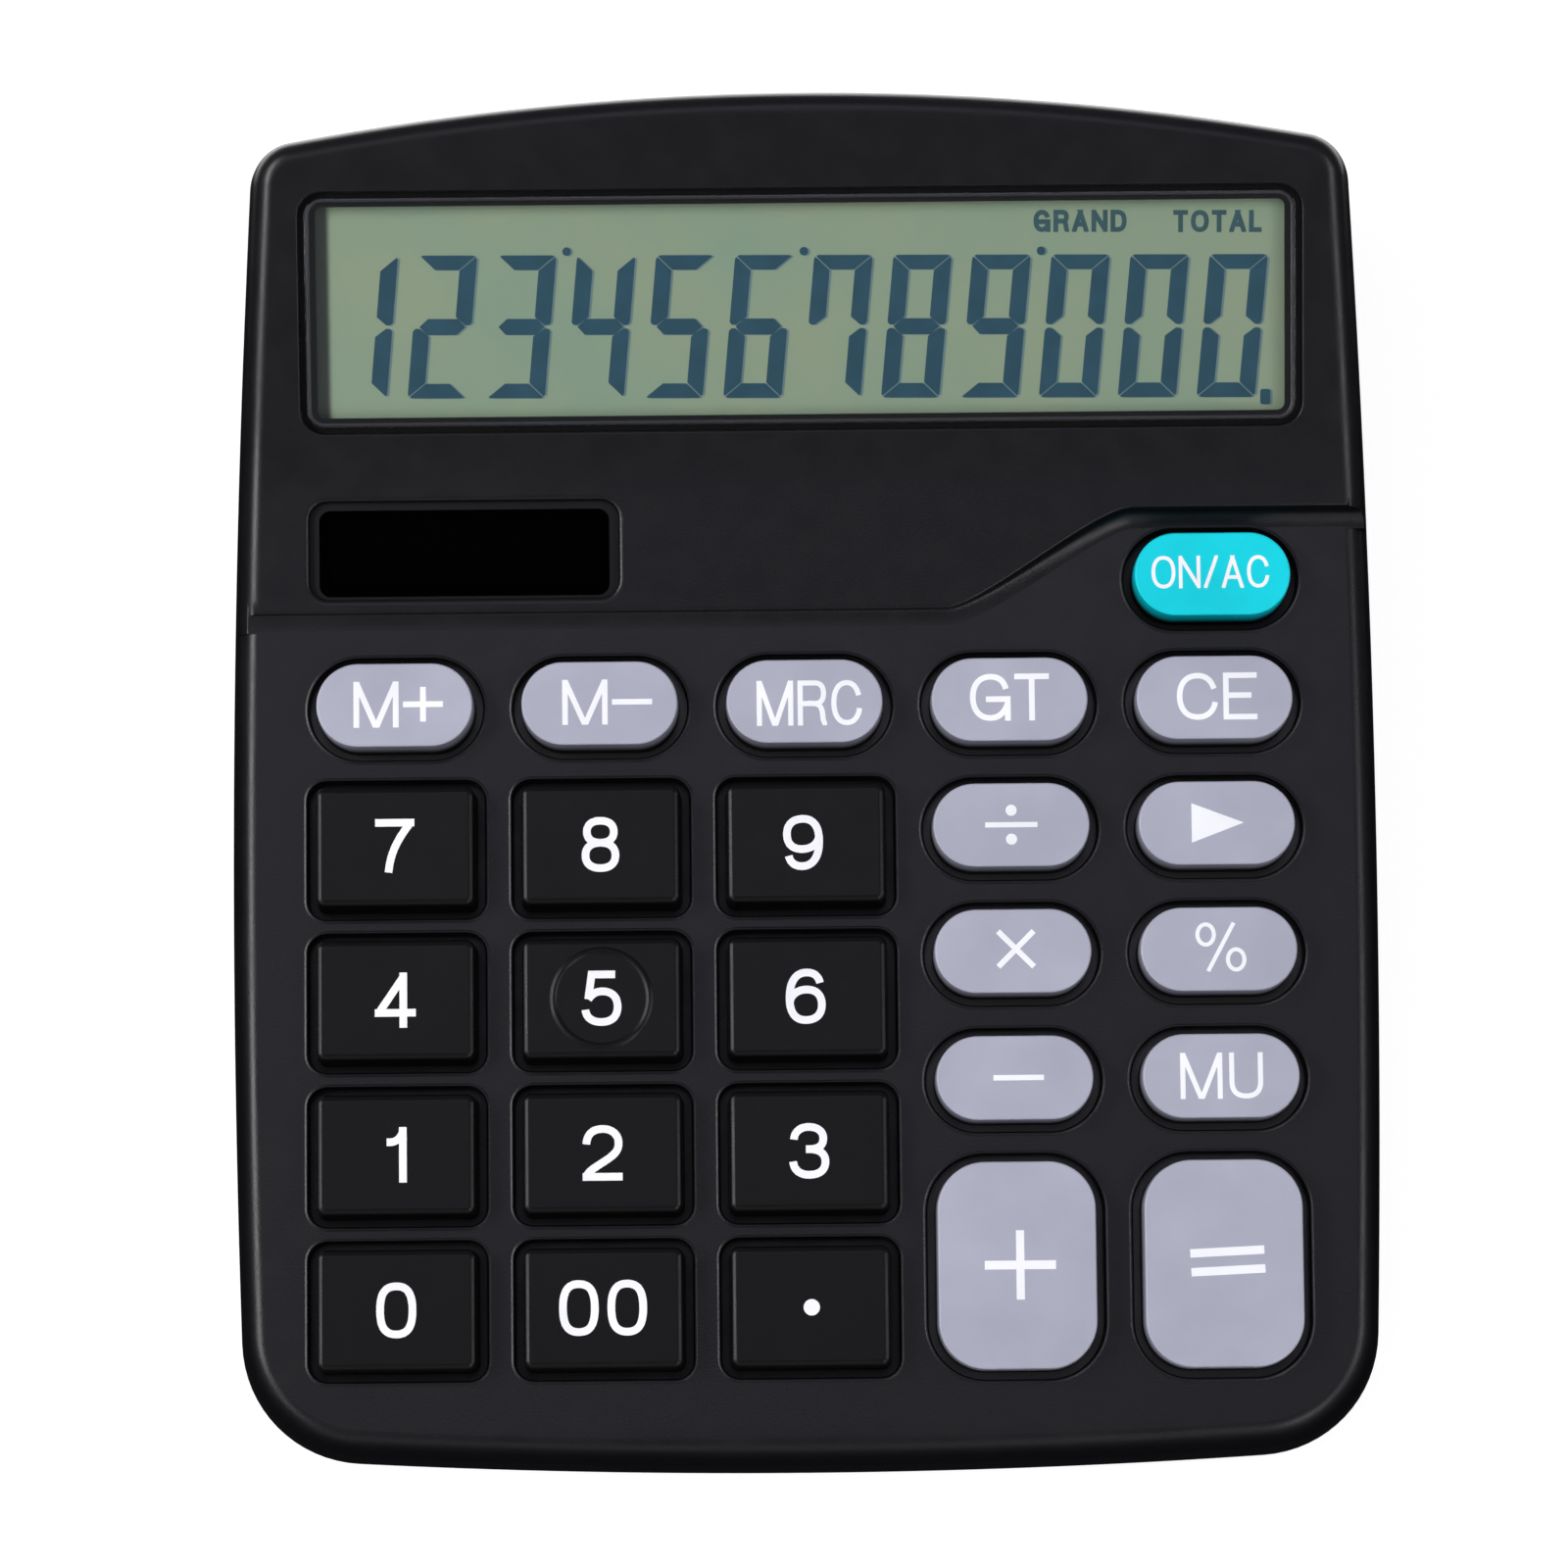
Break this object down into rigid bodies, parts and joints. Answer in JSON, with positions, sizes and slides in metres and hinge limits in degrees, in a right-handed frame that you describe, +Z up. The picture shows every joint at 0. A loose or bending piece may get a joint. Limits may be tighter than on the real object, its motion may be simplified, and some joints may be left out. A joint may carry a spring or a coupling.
{
  "type": "desk calculator",
  "caption": "Sloped desk calculator with black, grey and cyan push keys, a liquid-crystal display, a small solar cell and a battery door that slides out underneath.",
  "frame": {"origin": "on the table, under the middle of the footprint", "axes": "+X is the user's right, +Y points away from the user towards the display edge, +Z is up"},
  "size_m": [0.1204, 0.1428, 0.0344],
  "materials": {
    "casing_plastic": "fine satin texture",
    "black_key_plastic": "smooth satin",
    "grey_key_plastic": "smooth satin",
    "cyan_key_plastic": "smooth satin",
    "silicone": "matt silicone",
    "board_laminate": "lacquered laminate",
    "epoxy": "satin",
    "clear_acrylic": "polished clear",
    "lcd_glass": "polished, grey-green",
    "reflector_film": "pearl",
    "white_plastic": "plain",
    "printed_film": "gloss amber",
    "solar_glass": "polished, near black",
    "red_wire": "satin vinyl",
    "black_wire": "satin vinyl",
    "cell_can": "gloss sleeve",
    "nickel_plate": "bright nickel",
    "screw_steel": "zinc plated",
    "foot_rubber": "matt"
  },
  "bodies": {
    "casing": {"top_casing": "casing_plastic", "bottom_casing": "casing_plastic", "rubber_keypad": "silicone", "circuit_board": "board_laminate", "controller_chip": "epoxy", "board_screw_1": "screw_steel", "board_screw_2": "screw_steel", "board_screw_3": "screw_steel", "board_screw_4": "screw_steel", "display_lens": "clear_acrylic", "lcd_panel": "lcd_glass", "lcd_reflector": "reflector_film", "display_holder": "white_plastic", "display_film": "printed_film", "solar_window": "clear_acrylic", "solar_cell": "solar_glass", "solar_lead_red": "red_wire", "solar_lead_black": "black_wire", "battery_cell": "cell_can", "battery_spring": "nickel_plate", "battery_plate": "nickel_plate", "battery_lead_red": "red_wire", "battery_lead_black": "black_wire", "foot_1": "foot_rubber", "foot_2": "foot_rubber", "foot_3": "foot_rubber", "foot_4": "foot_rubber", "casing_screw_1": "screw_steel", "casing_screw_2": "screw_steel", "casing_screw_3": "screw_steel", "casing_screw_4": "screw_steel", "casing_screw_5": "screw_steel", "casing_screw_6": "screw_steel"},
    "battery_door": {"battery_door": "casing_plastic"},
    "key_7": {"key_7": "black_key_plastic"},
    "key_8": {"key_8": "black_key_plastic"},
    "key_9": {"key_9": "black_key_plastic"},
    "key_4": {"key_4": "black_key_plastic"},
    "key_5": {"key_5": "black_key_plastic"},
    "key_6": {"key_6": "black_key_plastic"},
    "key_1": {"key_1": "black_key_plastic"},
    "key_2": {"key_2": "black_key_plastic"},
    "key_3": {"key_3": "black_key_plastic"},
    "key_0": {"key_0": "black_key_plastic"},
    "key_00": {"key_00": "black_key_plastic"},
    "key_point": {"key_point": "black_key_plastic"},
    "key_memory_plus": {"key_memory_plus": "grey_key_plastic"},
    "key_memory_minus": {"key_memory_minus": "grey_key_plastic"},
    "key_memory_recall": {"key_memory_recall": "grey_key_plastic"},
    "key_grand_total": {"key_grand_total": "grey_key_plastic"},
    "key_clear_entry": {"key_clear_entry": "grey_key_plastic"},
    "key_divide": {"key_divide": "grey_key_plastic"},
    "key_backspace": {"key_backspace": "grey_key_plastic"},
    "key_multiply": {"key_multiply": "grey_key_plastic"},
    "key_percent": {"key_percent": "grey_key_plastic"},
    "key_minus": {"key_minus": "grey_key_plastic"},
    "key_markup": {"key_markup": "grey_key_plastic"},
    "key_plus": {"key_plus": "grey_key_plastic"},
    "key_equals": {"key_equals": "grey_key_plastic"},
    "key_on": {"key_on": "cyan_key_plastic"}
  },
  "joints": [
    {"name": "press_7", "type": "slide", "parent": "casing", "child": "key_7", "axis": [0, 0.0872, -0.9962], "range_m": [0, 0.0014], "stiffness_N_per_m": 350, "springref_m": -0.0004, "deforming": ["rubber_keypad"]},
    {"name": "press_8", "type": "slide", "parent": "casing", "child": "key_8", "axis": [0, 0.0872, -0.9962], "range_m": [0, 0.0014], "stiffness_N_per_m": 350, "springref_m": -0.0004, "deforming": ["rubber_keypad"]},
    {"name": "press_9", "type": "slide", "parent": "casing", "child": "key_9", "axis": [0, 0.0872, -0.9962], "range_m": [0, 0.0014], "stiffness_N_per_m": 350, "springref_m": -0.0004, "deforming": ["rubber_keypad"]},
    {"name": "press_4", "type": "slide", "parent": "casing", "child": "key_4", "axis": [0, 0.0872, -0.9962], "range_m": [0, 0.0014], "stiffness_N_per_m": 350, "springref_m": -0.0004, "deforming": ["rubber_keypad"]},
    {"name": "press_5", "type": "slide", "parent": "casing", "child": "key_5", "axis": [0, 0.0872, -0.9962], "range_m": [0, 0.0014], "stiffness_N_per_m": 350, "springref_m": -0.0004, "deforming": ["rubber_keypad"]},
    {"name": "press_6", "type": "slide", "parent": "casing", "child": "key_6", "axis": [0, 0.0872, -0.9962], "range_m": [0, 0.0014], "stiffness_N_per_m": 350, "springref_m": -0.0004, "deforming": ["rubber_keypad"]},
    {"name": "press_1", "type": "slide", "parent": "casing", "child": "key_1", "axis": [0, 0.0872, -0.9962], "range_m": [0, 0.0014], "stiffness_N_per_m": 350, "springref_m": -0.0004, "deforming": ["rubber_keypad"]},
    {"name": "press_2", "type": "slide", "parent": "casing", "child": "key_2", "axis": [0, 0.0872, -0.9962], "range_m": [0, 0.0014], "stiffness_N_per_m": 350, "springref_m": -0.0004, "deforming": ["rubber_keypad"]},
    {"name": "press_3", "type": "slide", "parent": "casing", "child": "key_3", "axis": [0, 0.0872, -0.9962], "range_m": [0, 0.0014], "stiffness_N_per_m": 350, "springref_m": -0.0004, "deforming": ["rubber_keypad"]},
    {"name": "press_0", "type": "slide", "parent": "casing", "child": "key_0", "axis": [0, 0.0872, -0.9962], "range_m": [0, 0.0014], "stiffness_N_per_m": 350, "springref_m": -0.0004, "deforming": ["rubber_keypad"]},
    {"name": "press_00", "type": "slide", "parent": "casing", "child": "key_00", "axis": [0, 0.0872, -0.9962], "range_m": [0, 0.0014], "stiffness_N_per_m": 350, "springref_m": -0.0004, "deforming": ["rubber_keypad"]},
    {"name": "press_point", "type": "slide", "parent": "casing", "child": "key_point", "axis": [0, 0.0872, -0.9962], "range_m": [0, 0.0014], "stiffness_N_per_m": 350, "springref_m": -0.0004, "deforming": ["rubber_keypad"]},
    {"name": "press_memory_plus", "type": "slide", "parent": "casing", "child": "key_memory_plus", "axis": [0, 0.0872, -0.9962], "range_m": [0, 0.0014], "stiffness_N_per_m": 350, "springref_m": -0.0004, "deforming": ["rubber_keypad"]},
    {"name": "press_memory_minus", "type": "slide", "parent": "casing", "child": "key_memory_minus", "axis": [0, 0.0872, -0.9962], "range_m": [0, 0.0014], "stiffness_N_per_m": 350, "springref_m": -0.0004, "deforming": ["rubber_keypad"]},
    {"name": "press_memory_recall", "type": "slide", "parent": "casing", "child": "key_memory_recall", "axis": [0, 0.0872, -0.9962], "range_m": [0, 0.0014], "stiffness_N_per_m": 350, "springref_m": -0.0004, "deforming": ["rubber_keypad"]},
    {"name": "press_grand_total", "type": "slide", "parent": "casing", "child": "key_grand_total", "axis": [0, 0.0872, -0.9962], "range_m": [0, 0.0014], "stiffness_N_per_m": 350, "springref_m": -0.0004, "deforming": ["rubber_keypad"]},
    {"name": "press_clear_entry", "type": "slide", "parent": "casing", "child": "key_clear_entry", "axis": [0, 0.0872, -0.9962], "range_m": [0, 0.0014], "stiffness_N_per_m": 350, "springref_m": -0.0004, "deforming": ["rubber_keypad"]},
    {"name": "press_divide", "type": "slide", "parent": "casing", "child": "key_divide", "axis": [0, 0.0872, -0.9962], "range_m": [0, 0.0014], "stiffness_N_per_m": 350, "springref_m": -0.0004, "deforming": ["rubber_keypad"]},
    {"name": "press_backspace", "type": "slide", "parent": "casing", "child": "key_backspace", "axis": [0, 0.0872, -0.9962], "range_m": [0, 0.0014], "stiffness_N_per_m": 350, "springref_m": -0.0004, "deforming": ["rubber_keypad"]},
    {"name": "press_multiply", "type": "slide", "parent": "casing", "child": "key_multiply", "axis": [0, 0.0872, -0.9962], "range_m": [0, 0.0014], "stiffness_N_per_m": 350, "springref_m": -0.0004, "deforming": ["rubber_keypad"]},
    {"name": "press_percent", "type": "slide", "parent": "casing", "child": "key_percent", "axis": [0, 0.0872, -0.9962], "range_m": [0, 0.0014], "stiffness_N_per_m": 350, "springref_m": -0.0004, "deforming": ["rubber_keypad"]},
    {"name": "press_minus", "type": "slide", "parent": "casing", "child": "key_minus", "axis": [0, 0.0872, -0.9962], "range_m": [0, 0.0014], "stiffness_N_per_m": 350, "springref_m": -0.0004, "deforming": ["rubber_keypad"]},
    {"name": "press_markup", "type": "slide", "parent": "casing", "child": "key_markup", "axis": [0, 0.0872, -0.9962], "range_m": [0, 0.0014], "stiffness_N_per_m": 350, "springref_m": -0.0004, "deforming": ["rubber_keypad"]},
    {"name": "press_plus", "type": "slide", "parent": "casing", "child": "key_plus", "axis": [0, 0.0872, -0.9962], "range_m": [0, 0.0014], "stiffness_N_per_m": 350, "springref_m": -0.0004, "deforming": ["rubber_keypad"]},
    {"name": "press_equals", "type": "slide", "parent": "casing", "child": "key_equals", "axis": [0, 0.0872, -0.9962], "range_m": [0, 0.0014], "stiffness_N_per_m": 350, "springref_m": -0.0004, "deforming": ["rubber_keypad"]},
    {"name": "press_on", "type": "slide", "parent": "casing", "child": "key_on", "axis": [0, 0.0872, -0.9962], "range_m": [0, 0.0014], "stiffness_N_per_m": 350, "springref_m": -0.0004, "deforming": ["rubber_keypad"]},
    {"name": "battery_door_slide", "type": "slide", "parent": "casing", "child": "battery_door", "axis": [0, 1, 0], "range_m": [0, 0.024]}
  ]
}
